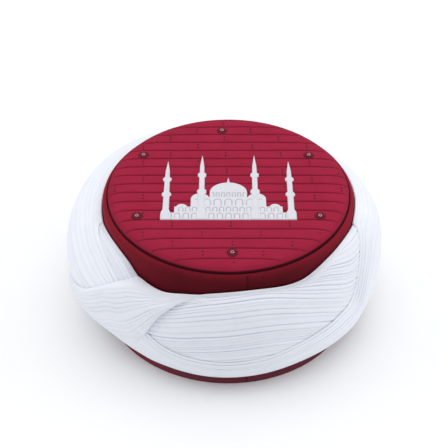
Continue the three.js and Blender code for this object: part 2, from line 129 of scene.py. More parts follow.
CROSS_ROWS = table(("order", "low_turn", "low", "low_stand", "high_turn", "high", "high_stand", "roll"), [
    (0, -160, 0.35, 0.6, -152, 0.41, 0.66, 0.03),
    (1, -138, 0.17, 0.4, -130, 0.42, 0.72, 0.14),
    (2, -106, 0.08, 0.12, -104, 0.415, 0.8, 0.29),
    (3, -78, 0.1, 0.11, -81, 0.455, 0.84, 0.35),
    (4, -59, 0.15, 0.08, -65, 0.555, 0.84, 0.35),
    (5, -46, 0.18, 0.1, -55.5, 0.69, 0.73, 0.28),
    (6, -37, 0.3, 0.36, -49, 0.785, 0.55, 0.28),
    (7, -33, 0.47, 0.5, -42, 0.86, 0.35, 0.24),
    (8, -29.5, 0.61, 0.52, -35.5, 0.845, 0.18, 0.22),
    (9, -25.5, 0.73, 0.44, -28.5, 0.835, 0.12, 0.15),
    (10, -18, 0.835, 0.3, -19, 0.865, 0.1, 0.08),
    (11, -6, 0.868, 0.2, -7, 0.89, 0.1, 0.02),
])

# How far the lines between the first pass's folds are lowered, as a share of its height, by turn
FIRST_SINK = [(-70, 0), (-40, 0.12), (-22, 0.02), (12, 0), (22, 0.02)]
FIRST_SINK += [(34, 0.11), (48, 0.34), (60, 0.5), (75, 0.5), (110, 0)]
# How far the second pass's upper edge thins out on the first, and how deep it is tucked in, by turn
SECOND_THIN = [(-80, 0), (-66, 1), (66, 1), (80, 0)]
SECOND_TUCK = [(-60, 0.6), (-42, 0), (50, 0), (62, 0.5)]
# The third pass, by order: how thick it is, whether it lies over the second, how deep its ends are tucked in,
# and whether it is rounded over what it covers
THIRD_THICK = [(0, 0.3), (0.8, 1), (9, 1), (11, 0.25)]
THIRD_OVER_SECOND = [(2.5, 0), (3.5, 1), (6.9, 1), (7.4, 0)]
THIRD_TUCK = [(0, 0.9), (0.6, 0), (9.5, 0), (11, 0.9)]
THIRD_ROUNDED = [(8, 1), (9.5, 0)]
third_edge_tuck = 0.9  # how far its lower edge is tucked into the second
third_rounding = 2.5


def wall_radius(height):
    return rim_radius - wall_lean * height / wall_height


def off_wall(turn, height, stand):
    """Points that stand off the wall, in the part's frame, in millimetres."""
    return on_turn(turn, wall_radius(height) + clearance + stand, height)


def dome_height(radius):
    share = np.minimum(radius / seam_radius, 1)
    return seam_height + crown_rise * np.sqrt(np.maximum(0, 1 - share**crown_flatness))


def on_turn(turn, radius, height):
    """Points in the part's frame, in millimetres."""
    angle = np.radians(turn)
    x = axis_x + radius * np.sin(angle)
    y = axis_y - radius * np.cos(angle)
    return np.stack(np.broadcast_arrays(x, y, height), axis=-1)


# Materials


class Wire:
    """A socket in a material. Arithmetic on it adds Math nodes, and make() adds any other node."""

    def __init__(self, tree, socket=None):
        self.tree = tree
        self.socket = socket

    def make(self, kind, settings=None, values=None, output=0):
        node = self.tree.nodes.new("ShaderNode" + kind)
        for name, value in (settings or {}).items():
            setattr(node, name, value)
        for name, value in (values or {}).items():
            if isinstance(value, Wire):
                self.tree.links.new(value.socket, node.inputs[name])
            else:
                node.inputs[name].default_value = value
        return Wire(self.tree, node.outputs[output])

    def math(self, operation, *values):
        return self.make("Math", {"operation": operation}, dict(enumerate(values)))

    def __add__(self, other):
        return self.math("ADD", self, other)

    def __sub__(self, other):
        return self.math("SUBTRACT", self, other)

    def __rsub__(self, other):
        return self.math("SUBTRACT", other, self)

    def __mul__(self, other):
        return self.math("MULTIPLY", self, other)

    def __truediv__(self, other):
        return self.math("DIVIDE", self, other)

    __radd__ = __add__
    __rmul__ = __mul__

    def wave(self, length):
        """A sine wave, from -1 to 1, that repeats after a length."""
        return self.math("SINE", self * (math.tau / length))

    def size(self):
        return self.math("ABSOLUTE", self)

    def clamped(self):
        return self.make("Clamp", values={"Value": self})

    def within(self, width):
        """1 where this is 0, falling to 0 at width."""
        return (1 - self.size() / width).clamped()

    def ramp(self, start, end):
        """0 at start and before it, 1 at end and past it."""
        return ((self - start) / (end - start)).clamped()

    def mix(self, *colours):
        """From the first colour at 0 to the second at 1."""
        first, second = [(*colour, 1) if isinstance(colour, tuple) else colour for colour in colours]
        settings = {"data_type": "RGBA", "clamp_factor": True}
        return self.make("Mix", settings, {0: self, 6: first, 7: second}, output=2)

    def attribute(self, name):
        """A number that a mesh has for each of its points."""
        return self.make("Attribute", {"attribute_name": name}, output=2)

    def object_place(self):
        """Object coordinates, x, y and z, in millimetres."""
        return self.apart(self.make("TexCoord", output=3), 1 / MM)

    def cloth_place(self):
        """Along and across the cloth, in millimetres."""
        return self.apart(self.make("UVMap", {"uv_map": "cloth"}), 1 / MM)[:2]

    def apart(self, vector, scale):
        scaled = self.make("VectorMath", {"operation": "SCALE"}, {0: vector, "Scale": scale})
        return [self.make("SeparateXYZ", None, {0: scaled}, output=k) for k in range(3)]

    def noise(self, x, y, z, detail=2.0):
        """Soft noise about 0.5 that changes over a distance of 1."""
        place = self.make("CombineXYZ", None, {0: x, 1: y, 2: z})
        return self.make("TexNoise", None, {"Vector": place, "Scale": 1.0, "Detail": detail})

    def bump(self, height, distance):
        """Raised detail from a height of 0 to 1, which stands for a distance in millimetres."""
        return self.make("Bump", None, {"Height": height, "Distance": distance * MM})


def finish(name, parts, specular, fixed=None):
    """A material from a function that gives its colour, roughness and normal, and values of other sockets."""
    material = bpy.data.materials.new(name)
    material.use_nodes = True
    tree = material.node_tree
    shader = next(node for node in tree.nodes if node.type == "BSDF_PRINCIPLED")
    shader.inputs["Specular IOR Level"].default_value = specular
    for socket, value in (fixed or {}).items():
        shader.inputs[socket].default_value = value
    for socket, value in zip(("Base Color", "Roughness", "Normal"), parts(Wire(tree))):
        tree.links.new(value.socket, shader.inputs[socket])
    return material


weave_pitch = 0.62
satin_pitch = 0.5
twist_pitch = 0.5
twill_pitch = 0.9


def muslin(name, dim, bright):
    """Fine white cloth in two shades: a plain weave, thin pleat lines, and cool painted shade in the creases.
    """

    def parts(wire):
        along, across = wire.cloth_place()
        x, y, z = wire.object_place()
        crease_shade = wire.attribute("crease_shade")
        cloud = wire.noise(x / 26, y / 26, z / 26)
        streaks = wire.noise(along / 60, across / 0.9, 0.0, 3.0)
        white = cloud.mix(dim, bright)
        streaked = (streaks * 0.2).mix(white, (0.72, 0.75, 0.83))
        # Painted shade in the creases
        colour = (crease_shade * 0.55).mix(streaked, (0.56, 0.61, 0.71))
        weave = along.wave(weave_pitch) * across.wave(weave_pitch)
        return colour, 0.82 + cloud * 0.14, wire.bump(streaks * 0.75 + weave * 0.06, 0.32)

    return finish(name, parts, 0.2, {"Sheen Weight": 0.25, "Sheen Roughness": 0.5})


def twill(light, dark, marked):
    """Burgundy twill in two shades. marked paints light and shade on it."""

    def parts(wire):
        x, y, z = wire.object_place()
        cloud = wire.noise(x / 18, y / 18, z / 18, 4.0)
        lint = wire.noise(x / 0.5, y / 0.5, z / 0.5, 1.0)
        ribs = (x + y + z * 1.3).wave(twill_pitch)
        shade = (cloud * 0.8 + lint * 0.35 - 0.1).mix(dark, light)
        return marked(wire, x, y, z, shade), 0.78 + lint * 0.2, wire.bump(ribs * 0.3 + lint * 0.7, 0.16)

    return parts


def radius_from(wire, x, y):
    across = x - axis_x
    deep = y - axis_y
    return wire.math("SQRT", across * across + deep * deep)


# The colour of painted shade in the seams and the quilting grooves
SEAM_PAINTED_SHADE = (0.045, 0.003, 0.008)
# Painted light on the wall, in millimetres: a sheen out to its sides, a highlight up its shoulder, light down
# to its rim
painted_sheen_sides = (36, 96)
painted_highlight_shoulder = (93.5, 100.5)
painted_light_rim = (12, 10)


def crown_marks(wire, x, y, z, shade):
    """Painted shade along the quilting grooves and round the seam."""
    # Painted shade in the quilting grooves
    groove = wire.attribute("groove")
    inside = radius_from(wire, x, y) - seam_radius
    # Painted shade in the seam's crease: a thin dark line and a wider soft band
    seam = inside.within(0.7) * 1.3 + inside.within(4) * 0.25
    return (groove * 0.6 + seam).clamped().mix(shade, SEAM_PAINTED_SHADE)


def wall_marks(wire, x, y, z, shade):
    """Paler with painted light at the sides, shoulder and rim, and darker with painted shade at the seams."""
    # Painted sheen at the sides and a painted highlight on the shoulder
    sides = (x - axis_x).size().ramp(*painted_sheen_sides)
    shoulder_highlight = z.ramp(*painted_highlight_shoulder)
    wear_and_painted_light = (sides * 0.72 + shoulder_highlight * shoulder_highlight * 0.45).clamped().mix(shade, (0.24, 0.013, 0.026))
    # Painted light from below at the rim
    rim = z.ramp(*painted_light_rim).mix(wear_and_painted_light, (0.13, 0.03, 0.045))
    # Painted shade along the top seam and the upright seam
    top = (radius_from(wire, x, y) - seam_radius).within(0.75) * (z - seam_height).within(3)
    upright_seam_shade = wire.attribute("groove")
    return (top * 1.4 + upright_seam_shade * 0.55).clamped().mix(rim, SEAM_PAINTED_SHADE)


def satin_parts(wire):
    """Glossy white embroidery thread, in close parallel stitches."""
    along, across = wire.cloth_place()
    groove = wire.attribute("groove")
    threads = across.wave(satin_pitch)
    uneven = wire.noise(along / 3, across / 0.4, 0.0)
    light = uneven.mix((0.62, 0.62, 0.67), (0.81, 0.81, 0.86))
    colour = (groove * 0.85).mix(light, (0.27, 0.25, 0.29))
    return colour, 0.38 + uneven * 0.25, wire.bump(threads * 0.3 + uneven * 0.7, 0.14)


def thread(dark, light):
    """Twisted burgundy sewing thread between two shades."""

    def parts(wire):
        x, y, z = wire.object_place()
        twist = (x * 1.6 + y + z).wave(twist_pitch)
        wear_and_painted_light = wire.noise(x / 4, y / 4, z / 4)
        return wear_and_painted_light.mix(dark, light), 0.5 + wear_and_painted_light * 0.3, wire.bump(twist, 0.05)

    return parts


def metal_parts(wire):
    """Satin metal, dulled in patches."""
    x, y, z = wire.object_place()
    dull = wire.noise(x / 0.8, y / 0.8, z / 0.8, 4.0)
    colour = dull.mix((0.3, 0.1, 0.12), (0.66, 0.42, 0.45))
    return colour, 0.34 + dull * 0.3, wire.bump(dull, 0.03)


def floor_parts(wire):
    x, y, z = wire.object_place()
    mottle = wire.noise(x / 90, y / 90, z / 90)
    return (mottle.mix((0.93, 0.93, 0.93), (0.94, 0.94, 0.94)),)


# One cloth in three copies: the second pass painted lighter as painted light, the first a little darker as
# painted shade
first_muslin_painted_shade = muslin("first_muslin_painted_shade", (0.78, 0.8, 0.875), (0.85, 0.87, 0.94))
second_muslin_painted_light = muslin("second_muslin_painted_light", (0.83, 0.855, 0.93), (0.9, 0.925, 0.985))
third_muslin = muslin("third_muslin", (0.79, 0.81, 0.885), (0.86, 0.88, 0.95))
crown_twill = finish(
    "crown_twill",
    twill((0.4, 0.019, 0.056), (0.28, 0.012, 0.036), crown_marks),
    0.08,
    {"Sheen Weight": 0.1, "Sheen Tint": (1, 0.12, 0.25, 1)},
)
# Painted shade: the wall is a darker copy of the crown's twill, made paler at its sides by painted sheen
painted_shade_wall_twill = finish(
    "painted_shade_wall_twill",
    twill((0.105, 0.006, 0.0115), (0.062, 0.0032, 0.0065), wall_marks),
    0.06,
    {"Sheen Weight": 0.9, "Sheen Tint": (0.62, 0.05, 0.1, 1), "Sheen Roughness": 0.3},
)
satin_thread = finish("satin_thread", satin_parts, 0.4, {"Sheen Weight": 0.1})
sewing_thread = finish("sewing_thread", thread((0.035, 0.003, 0.008), (0.11, 0.008, 0.02)), 0.3)
eyelet_thread = finish("eyelet_thread", thread((0.125, 0.008, 0.022), (0.24, 0.014, 0.04)), 0.2)
eyelet_metal = finish("eyelet_metal", metal_parts, 0.5, {"Metallic": 1.0})
floor_white = finish("floor_white", floor_parts, 0.0, {"Roughness": 0.9})


# Meshes


def in_scene(name, data):
    """An object in the scene, and the only one selected."""
    made = bpy.data.objects.new(name, data)
    bpy.context.scene.collection.objects.link(made)
    bpy.ops.object.select_all(action="DESELECT")
    made.select_set(True)
    bpy.context.view_layer.objects.active = made
    return made


def give_values(mesh, key, numbers):
    """A named number for each point of a mesh."""
    attribute = mesh.attributes.new(key, "FLOAT", "POINT")
    attribute.data.foreach_set("value", np.asarray(numbers, np.float32).ravel())


def piece(name, points, faces, material, replaced=(), corner_uv=None, values=None, angle=60):
    """A piece of the object from points in millimetres. values are named numbers for its points."""
    mesh = bpy.data.meshes.new(name)
    mesh.from_pydata((np.asarray(points) * MM).tolist(), [], faces)
    if corner_uv is not None:
        layer = mesh.uv_layers.new(name="cloth")
        layer.data.foreach_set("uv", (np.asarray(corner_uv) * MM).astype(np.float32).ravel())
    for key, numbers in (values or {}).items():
        give_values(mesh, key, numbers)
    mesh.update()
    return settle(in_scene(name, mesh), material, replaced, angle)


def settle(made, material, replaced, angle):
    """Gives a new piece, still selected, its material, its shading and its body."""
    made.data.materials.append(material)
    bpy.ops.object.shade_smooth_by_angle(angle=math.radians(angle))
    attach(made, "root")
    if replaced:
        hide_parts(*replaced)
    return made


def smooth(at, known_at, known):
    """A smooth curve through known values."""
    ends = np.diff(known) / np.diff(known_at)
    slope = (known[2:] - known[:-2]) / (known_at[2:] - known_at[:-2])
    slope = np.concatenate([ends[:1], slope, ends[-1:]])
    i = np.clip(np.searchsorted(known_at, at, side="right") - 1, 0, len(known_at) - 2)
    span = known_at[i + 1] - known_at[i]
    t = (at - known_at[i]) / span
    rise = 3 * t**2 - 2 * t**3
    start = span * slope[i] * (t - 2 * t**2 + t**3)
    end = span * slope[i + 1] * (t**3 - t**2)
    return known[i] * (1 - rise) + known[i + 1] * rise + start + end


def ring_row(rows, column, turn):
    """A column of a ring's table at a turn. The table starts again after 360 degrees."""
    at = rows["turn"]
    value = rows[column]
    turns = np.concatenate([[at[-1] - 360], at, at[:2] + 360])
    values = np.concatenate([[value[-1]], value, value[:2]])
    return smooth(turn, turns, values)


def bulge(across, belly):
    t = np.where(across < belly, (belly - across) / belly, (across - belly) / (1 - belly))
    return np.sqrt(np.maximum(0, 1 - np.abs(t) ** bulge_fullness))


def ring_shape(ring, turn):
    row = {key: ring_row(ring["rows"], key, turn) for key in RING_COLUMNS[1:]}
    low_rest = np.maximum(0, row["low_rest"]) * inner_roll
    high_rest = np.maximum(0, row["high_rest"]) * inner_roll
    belly = row["belly"]
    rise = row["roll"] * ring["roll"] - lip_thickness - low_rest * (1 - belly) - high_rest * belly
    return row["low"] * wall_height, row["high"] * wall_height, low_rest, high_rest, belly, rise


INNER = {"rows": INNER_ROWS, "roll": inner_roll}
OUTER = {"rows": OUTER_ROWS, "roll": outer_roll}
least_cloth = 0.4  # the thinnest that a pass gets at its edges


def ring_stand(ring, turn, across):
    """The height of a place on a ring's face, and how far it stands off the wall."""
    low, high, low_rest, high_rest, belly, rise = ring_shape(ring, turn)
    height = low + (high - low) * across
    rest = low_rest + (high_rest - low_rest) * across
    stand = rest + lip_thickness + rise * bulge(across, belly)
    if ring is OUTER:
        # The second pass lies on the first, and along the front its upper edge thins out on it
        resting = stand_at(INNER, turn, height) + least_cloth
        thin = value_at(SECOND_THIN, turn) * np.clip((across - 0.6) / 0.4, 0, 1) ** 2
        stand = np.maximum(stand, resting)
        stand = stand + (resting - value_at(SECOND_TUCK, turn) - stand) * thin
    return height, stand


def stand_at(ring, turn, height):
    """How far a ring's face stands off the wall at a height, or 0 above and below the ring."""
    shape = ring_shape(ring, turn)
    across = (height - shape[0]) / (shape[1] - shape[0])
    covered = (across >= 0) & (across <= 1)
    return np.where(covered, ring_stand(ring, turn, np.clip(across, 0, 1))[1], 0)


def ring_face(ring):
    """A function that gives the face of a ring: turn, height and stand at shares along and across it."""

    def face(along, across):
        turn = -180 + 360 * along
        return turn, *ring_stand(ring, turn, across)

    return face


def blended(first, second, reach):
    """The greater of two heights, rounded off where they come close."""
    return (first + second + np.sqrt((first - second) ** 2 + reach**2)) / 2


def cross_face(along, across):
    """The face of the crossing pass, which always covers the rings."""
    rows = CROSS_ROWS
    order = along * rows["order"][-1]
    row = {key: smooth(order, rows["order"], values) for key, values in rows.items()}
    turn = row["low_turn"] + (row["high_turn"] - row["low_turn"]) * across
    height = (row["low"] + (row["high"] - row["low"]) * across) * wall_height
    edge = row["low_stand"] + (row["high_stand"] - row["low_stand"]) * across
    own = (edge + row["roll"] * bulge(across, 0.5)) * cross_roll
    covered = blended(stand_at(INNER, turn, height), stand_at(OUTER, turn, height), 1)
    # It thins out at its ends and its upper edge, and at its lower edge where that is tucked in
    thick = value_at(THIRD_THICK, order)
    low_thin = value_at(THIRD_OVER_SECOND, order) * np.clip(1 - across / 0.4, 0, 1)
    high_thin = np.clip((across - 0.8) / 0.2, 0, 1)
    lip = lip_thickness * thick * (1 - low_thin) * (1 - 0.9 * high_thin)
    tuck = third_edge_tuck * low_thin + value_at(THIRD_TUCK, order)
    rounding = third_rounding * (1 - np.maximum(low_thin, high_thin)) * value_at(THIRD_ROUNDED, order)
    return turn, height, blended(own * np.sqrt(thick), covered + lip, rounding) - tuck


def wander(along, waves, chance, fade=1.0):
    """A smooth random curve about 0 that ends as it starts."""
    total = np.zeros_like(along)
    for wave in range(1, waves + 1):
        size = chance.normal() / wave**fade
        total += size * np.cos(math.tau * (wave * along + chance.random()))
    return total


# Places inside a fold, from the crease below it to the crease above it
FOLD_STEPS = np.array([0, 0.06, 0.16, 0.34, 0.56, 0.76, 0.9, 0.965])
fold_foot = 0.22  # how far the lower rounding of a fold reaches into it
fold_head = 0.6  # where its upper rounding starts
least_fold = 0.002  # the least width of a fold, as a share of the section


def evened(values, reach, closed):
    """Columns of values smoothed over a number of stations each way."""
    weights = np.hanning(2 * reach + 3)[1:-1]
    padded = np.pad(values, ((reach, reach), (0, 0)), mode="wrap" if closed else "edge")
    return np.stack([np.convolve(column, weights / weights.sum(), "valid") for column in padded.T], 1)


def fold_lines(style, along, place, chance):
    """Where the creases between the folds lie across the cloth, from 0 to 1, and how deep they are."""
    folds = style["folds"]
    waves = style["waves"]
    widths = [np.exp(style["uneven"] * wander(along, waves, chance, 1.3)) for _ in range(folds)]
    widths = np.stack(widths, 1) * np.exp(style["spread"] * chance.normal(size=folds))
    lines = np.concatenate([np.zeros((len(along), 1)), np.cumsum(widths, axis=1)], axis=1)
    lines *= (1 + style["spare"]) / lines[:, -1:]
    # Where the lines sink, the lower ones go under the pass on top of this one, and spare ones come out above
    order = np.arange(folds + 1)
    sunk = lines - value_at(style["sink"], place)[:, None]
    lines = np.clip(sunk, least_fold * order, 1 - least_fold * (folds - order))
    depths = np.stack([0.55 + 0.45 * wander(along, waves, chance, 1.1) for _ in range(folds + 1)], 1)
    depths = np.clip(depths, 0.25, 1.15) * value_at(style["depth"], place)[:, None]
    depths[:, 0] = depths[:, -1] = 0
    return lines, depths


def fold_points(lines, depths):
    """For each point across the folds: its share of the section, its height and how much painted shade its
    crease gets.
    """
    columns = []
    for k in range(depths.shape[1] - 1):
        below = depths[:, k]
        above = depths[:, k + 1]
        for t in FOLD_STEPS:
            share = lines[:, k] + (lines[:, k + 1] - lines[:, k]) * t
            foot = max(0, 1 - t / fold_foot) ** 2
            head = max(0, (t - fold_head) / (1 - fold_head)) ** 2
            # The painted shade of the creases
            crease_shade = below * max(0, 1 - t / 0.1) + above * max(0, (t - 0.8) / 0.2)
            columns.append((share, -below * foot - above * head, crease_shade))
    level = np.zeros(len(lines))
    columns.append((level + 1, level, level))
    return [np.stack(values, 1) for values in zip(*columns)]


def spread_out(face, style, along, place, share):
    """Shares of the section as shares of the face's height, and the girth of each section."""
    fine = 0.5 - 0.5 * np.cos(np.linspace(0, math.pi, 161))
    section = off_wall(*face(along[:, None], fine[None, :]))
    steps = np.linalg.norm(np.diff(section, axis=1), axis=2)
    travel = np.concatenate([np.zeros((len(along), 1)), np.cumsum(steps, axis=1)], axis=1)
    girth = travel[:, -1:]
    across = np.stack([np.interp(share[i] * girth[i], travel[i], fine) for i in range(len(along))])
    across = across * style["girth_share"] + share * (1 - style["girth_share"])
    across += value_at(style["lifted"], place)[:, None] * 4 * across * (1 - across)
    return evened(across, style["evened"], style["is_ring"]), girth


def cloth_faces(stations, loop, is_ring, length, width):
    """The faces of a pass, and where their corners lie along and across its cloth."""
    rows = stations if is_ring else stations - 1
    i, k = np.meshgrid(np.arange(rows), np.arange(loop), indexing="ij")
    ahead = (i + 1) % stations * loop
    above = (k + 1) % loop
    faces = np.stack([i * loop + k, ahead + k, ahead + above, i * loop + above], -1).reshape(-1, 4).tolist()
    around = np.linspace(0, width, loop + 1)
    u = np.stack([i, i + 1, i + 1, i], -1) * (length / rows)
    v = np.stack([around[k], around[k], around[k + 1], around[k + 1]], -1)
    corner_uv = np.stack([u, v], -1).reshape(-1, 2)
    if not is_ring:
        faces.append(list(range(loop)))
        faces.append([(stations - 1) * loop + j for j in range(loop - 1, -1, -1)])
        corner_uv = np.concatenate([corner_uv, np.zeros((2 * loop, 2))])
    return faces, corner_uv


def folded_pass(name, face, style, covers, replaced):
    """A pass of pleated cloth: a face of folds, rounded lips and a plain back along what it lies on."""
    chance = np.random.default_rng(style["seed"])
    is_ring = style["is_ring"]
    stations = style["stations"]
    along = np.arange(stations) / stations if is_ring else np.linspace(0, 1, stations)
    place = -180 + 360 * along if is_ring else CROSS_ROWS["order"][-1] * along
    lines, depths = fold_lines(style, along, place, chance)
    share, relief, crease_shade = fold_points(lines, depths)
    across, girth = spread_out(face, style, along, place, share)
    turn, height, stand = face(along[:, None], across)
    points = off_wall(turn, height, stand)
    if is_ring:
        ahead = np.roll(points, -1, axis=0) - np.roll(points, 1, axis=0)
    else:
        ahead = np.gradient(points, axis=0)
    normal = np.cross(ahead, np.gradient(points, axis=1))
    normal /= np.linalg.norm(normal, axis=2, keepdims=True) + 1e-9
    fold_width = np.repeat(np.diff(lines, axis=1) * girth, len(FOLD_STEPS), axis=1)
    fold_width = np.concatenate([fold_width, fold_width[:, -1:]], axis=1)
    slack = style["slack"] * (wander(along, 5, chance, 0.8)[:, None] * np.sin(math.pi * share * 2.3) - 1.2)
    edge_fade = np.clip(np.minimum(share, 1 - share) / 0.06, 0, 1)
    moved = relief * np.minimum(1, fold_width * 0.3) + slack * edge_fade
    points = points + normal * moved[..., None]

    # The back, from the upper lip down to the lower one, just off whatever lies under it
    count = share.shape[1]
    picks = np.unique(np.linspace(0, count - 1, style["back_steps"]).round().astype(int))[::-1]
    back_turn = np.broadcast_to(turn, stand.shape)[:, picks]
    back_height = height[:, picks]
    back_stand = np.full(back_height.shape, style["back"])
    for ring in covers:
        back_stand = np.maximum(back_stand, stand_at(ring, back_turn, back_height) + clearance)
    back = off_wall(back_turn, back_height, np.minimum(back_stand, stand[:, picks] - least_cloth))
    lip_bow = np.array([0, 0, lip_thickness * 0.3])
    upper_lip = (points[:, -1:] + back[:, :1]) / 2 + lip_bow
    lower_lip = (points[:, :1] + back[:, -1:]) / 2 - lip_bow
    section = np.concatenate([points, upper_lip, back, lower_lip], axis=1)
    loop = section.shape[1]
    faces, corner_uv = cloth_faces(stations, loop, is_ring, style["length"], float(girth.mean()) * 2)
    # Painted shade in the creases, where the folds are wide enough
    shown = np.clip(crease_shade, 0, 1) * np.clip(fold_width - 0.3, 0, 1)
    values = {"crease_shade": np.concatenate([shown, np.zeros((stations, loop - count))], axis=1)}
    cloth = style["cloth"]
    made = piece(name, section.reshape(-1, 3), faces, cloth, replaced, corner_uv, values, 50)


# What the passes share. Pairs are of turn and value for a ring, and of order and value for the crossing pass
PASS = {
    "is_ring": True,
    "girth_share": 1,  # 1 where folds are spaced by the girth of the section, 0 by its height
    "lifted": [(0, 0)],  # how far the middle lines are lifted
    "sink": [(0, 0)],  # how far all lines are lowered
    "spare": 0,  # how many more folds there are than fit, as a share
    "back": clearance,  # the least that the back stands off the wall
}


def wrap_inner():
    depth = [(-180, 0.6), (-60, 0.8), (-30, 1), (60, 1), (110, 0.7), (180, 0.6)]
    style = PASS | dict(
        seed=11, stations=300, folds=36, waves=3, uneven=0.28, spread=0.34, evened=10, slack=0.2,
        spare=0.5, sink=FIRST_SINK, depth=depth, back_steps=14, length=680, cloth=first_muslin_painted_shade,
    )
    folded_pass("wrap_inner_cloth", ring_face(INNER), style, (), ("wrap_inner",))


def wrap_outer():
    depth = [(-180, 0.6), (-100, 0.5), (-60, 0.5), (-30, 1.2), (40, 1.2), (80, 0.35), (180, 0.6)]
    style = PASS | dict(
        seed=23, stations=400, folds=15, waves=4, uneven=0.24, spread=0.35, evened=8, slack=0.25,
        depth=depth, back_steps=24, length=720, cloth=second_muslin_painted_light,
    )
    folded_pass("wrap_outer_cloth", ring_face(OUTER), style, (INNER,), ("wrap_outer",))


def wrap_cross():
    depth = [(0, 0.4), (2.2, 0.6), (3.85, 0.85), (8.25, 0.7), (11, 0.1)]
    lifted = [(3.4, 0), (4.8, 0.06), (5.6, 0.12), (6.4, 0), (7.3, -0.05), (8.5, 0)]
    style = PASS | dict(
        seed=37, stations=300, folds=12, waves=2, uneven=0.16, spread=0.3, evened=18, slack=0.1,
        is_ring=False, girth_share=0.3, lifted=lifted, depth=depth, back=lip_thickness, back_steps=20,
        length=360, cloth=third_muslin,
    )
    folded_pass("wrap_cross_cloth", cross_face, style, (INNER, OUTER), ("wrap_cross",))


# Cap


def spun(name, outline, steps, centre):
    """A closed profile of [radius, height] turned round an upright axis at centre, in millimetres."""
    mesh = bpy.data.meshes.new(name)
    points = [((centre[0] + radius) * MM, centre[1] * MM, height * MM) for radius, height in outline]
    edges = [(k, (k + 1) % len(points)) for k in range(len(points))]
    mesh.from_pydata(points, edges, [])
    made = in_scene(name, mesh)
    bpy.ops.object.mode_set(mode="EDIT")
    bpy.ops.mesh.select_all(action="SELECT")
    middle = (centre[0] * MM, centre[1] * MM, 0)
    bpy.ops.mesh.spin(steps=steps, angle=math.tau, center=middle, axis=(0, 0, 1))
    bpy.ops.mesh.select_all(action="SELECT")
    bpy.ops.mesh.remove_doubles(threshold=0.00001)
    bpy.ops.mesh.normals_make_consistent(inside=False)
    bpy.ops.object.mode_set(mode="OBJECT")
    return made


wall_seam_turn = 8.0
wall_seam_depth = 0.5
wall_seam_half_width = 0.7
wall_steps = 300
seam_crowding = 1.5  # a higher power brings more of the wall's edges to its upright seam
inner_rounding = 0.6
wall_slack = 0.35  # how far the cloth sinks in and ripples between two heights
slack_from = 4
slack_to = 90


def cap_wall():
    inner_top = seam_radius + clearance / 2
    rim_inside = rim_radius - wall_thickness
    outline = [(rim_inside + inner_rounding, 0), (rim_radius - rim_rounding, 0)]
    outline += [(rim_radius - 0.25, 0.25), (rim_radius, rim_rounding)]
    outline += [(wall_radius(wall_height * k / 14), wall_height * k / 14) for k in range(1, 15)]
    for k in range(1, 9):
        angle = math.pi / 2 * k / 9
        radius = shoulder_radius - (seam_inset - clearance / 2) * (1 - math.cos(angle))
        outline.append((radius, wall_height + shoulder_rise * math.sin(angle)))
    outline += [(inner_top + 0.5, seam_height - 0.1), (inner_top, seam_height - 0.8)]
    outline += [(inner_top, seam_height - crown_edge_thickness)]
    for k in range(8, 0, -1):
        outline.append((wall_radius(wall_height * k / 8) - wall_thickness, wall_height * k / 8))
    outline += [(rim_inside, inner_rounding)]
    made = spun("cap_wall_cloth", outline, wall_steps, (axis_x, axis_y))
    places = np.zeros(len(made.data.vertices) * 3)
    made.data.vertices.foreach_get("co", places)
    across, deep, height = (places.reshape(-1, 3) / MM - (axis_x, axis_y, 0)).T
    radius = np.hypot(across, deep)
    turn = np.degrees(np.arctan2(across, -deep))
    away = (turn - wall_seam_turn + 180) % 360 - 180
    away = np.sign(away) * 180 * np.abs(away / 180) ** seam_crowding
    outside = radius > wall_radius(np.minimum(height, wall_height)) - wall_thickness / 2
    seam = np.exp(-((np.radians(away) * radius / wall_seam_half_width) ** 2))
    seam = seam * outside * (height > rim_rounding / 2) * (height < wall_height + shoulder_rise * 0.9)
    ripple = np.sin(np.radians(away * 5)) * np.sin(height / wall_height * math.pi)
    slack = wall_slack * (1 + ripple) * outside * (height > slack_from) * (height < slack_to)
    radius = radius - wall_seam_depth * seam - slack
    places = on_turn(away + wall_seam_turn, radius, height)
    made.data.vertices.foreach_set("co", (places * MM).ravel())
    made.data.update()
    give_values(made.data, "groove", seam)
    settle(made, painted_shade_wall_twill, ("cap_wall",), 40)


groove_depth = 0.85
groove_width = 0.5
puff_depth = 0.3
edge_fade_power = 14  # a higher power carries the quilting closer to the seam
line_bend = 0.034  # how far the lines of quilting turn to the front at the seam, in radians
bend_reach = 2.6
ROW_STEPS = (0, 0.3, 0.7, 1.3, 2.3, 3.6, 5.03, 6.45, 7.75, 8.75, 9.35, 9.75)
crown_columns = 170


def nearest_line(y):
    """How far y is from the nearest line of quilting."""
    return np.abs((y - row_offset + row_pitch / 2) % row_pitch - row_pitch / 2)


def strayed(x, y):
    """Where a place on the crown moves to: quilting lines waver a little, and bend forward at the seam."""
    inside = seam_radius - np.hypot(x, y)
    waver = 0.14 * np.sin(x / 9.5 + y * 0.35) + 0.06 * np.sin(x / 3.1 - y * 0.8)
    y = y + waver * np.clip(inside / 6, 0, 1)
    bend = line_bend * np.exp(-np.maximum(inside, 0) / bend_reach) * x / seam_radius
    bend = bend * np.clip(0.6 - y / seam_radius, 0, 1)
    return x * np.cos(bend) + y * np.sin(bend), y * np.cos(bend) - x * np.sin(bend)


def crown_surface(x, y):
    """The crown's height and its groove, from 0 to 1, at places from the cap's axis."""
    radius = np.minimum(np.hypot(x, y), seam_radius - clearance / 2)
    away = nearest_line(y)
    fade = 1 - (radius / seam_radius) ** edge_fade_power
    groove = np.exp(-((away / groove_width) ** 2)) * fade
    puff = (1 - np.sin(math.pi * np.minimum(away / row_pitch * 2, 1) / 2) ** 0.6) * fade
    return dome_height(radius) - groove_depth * groove - puff_depth * puff, groove


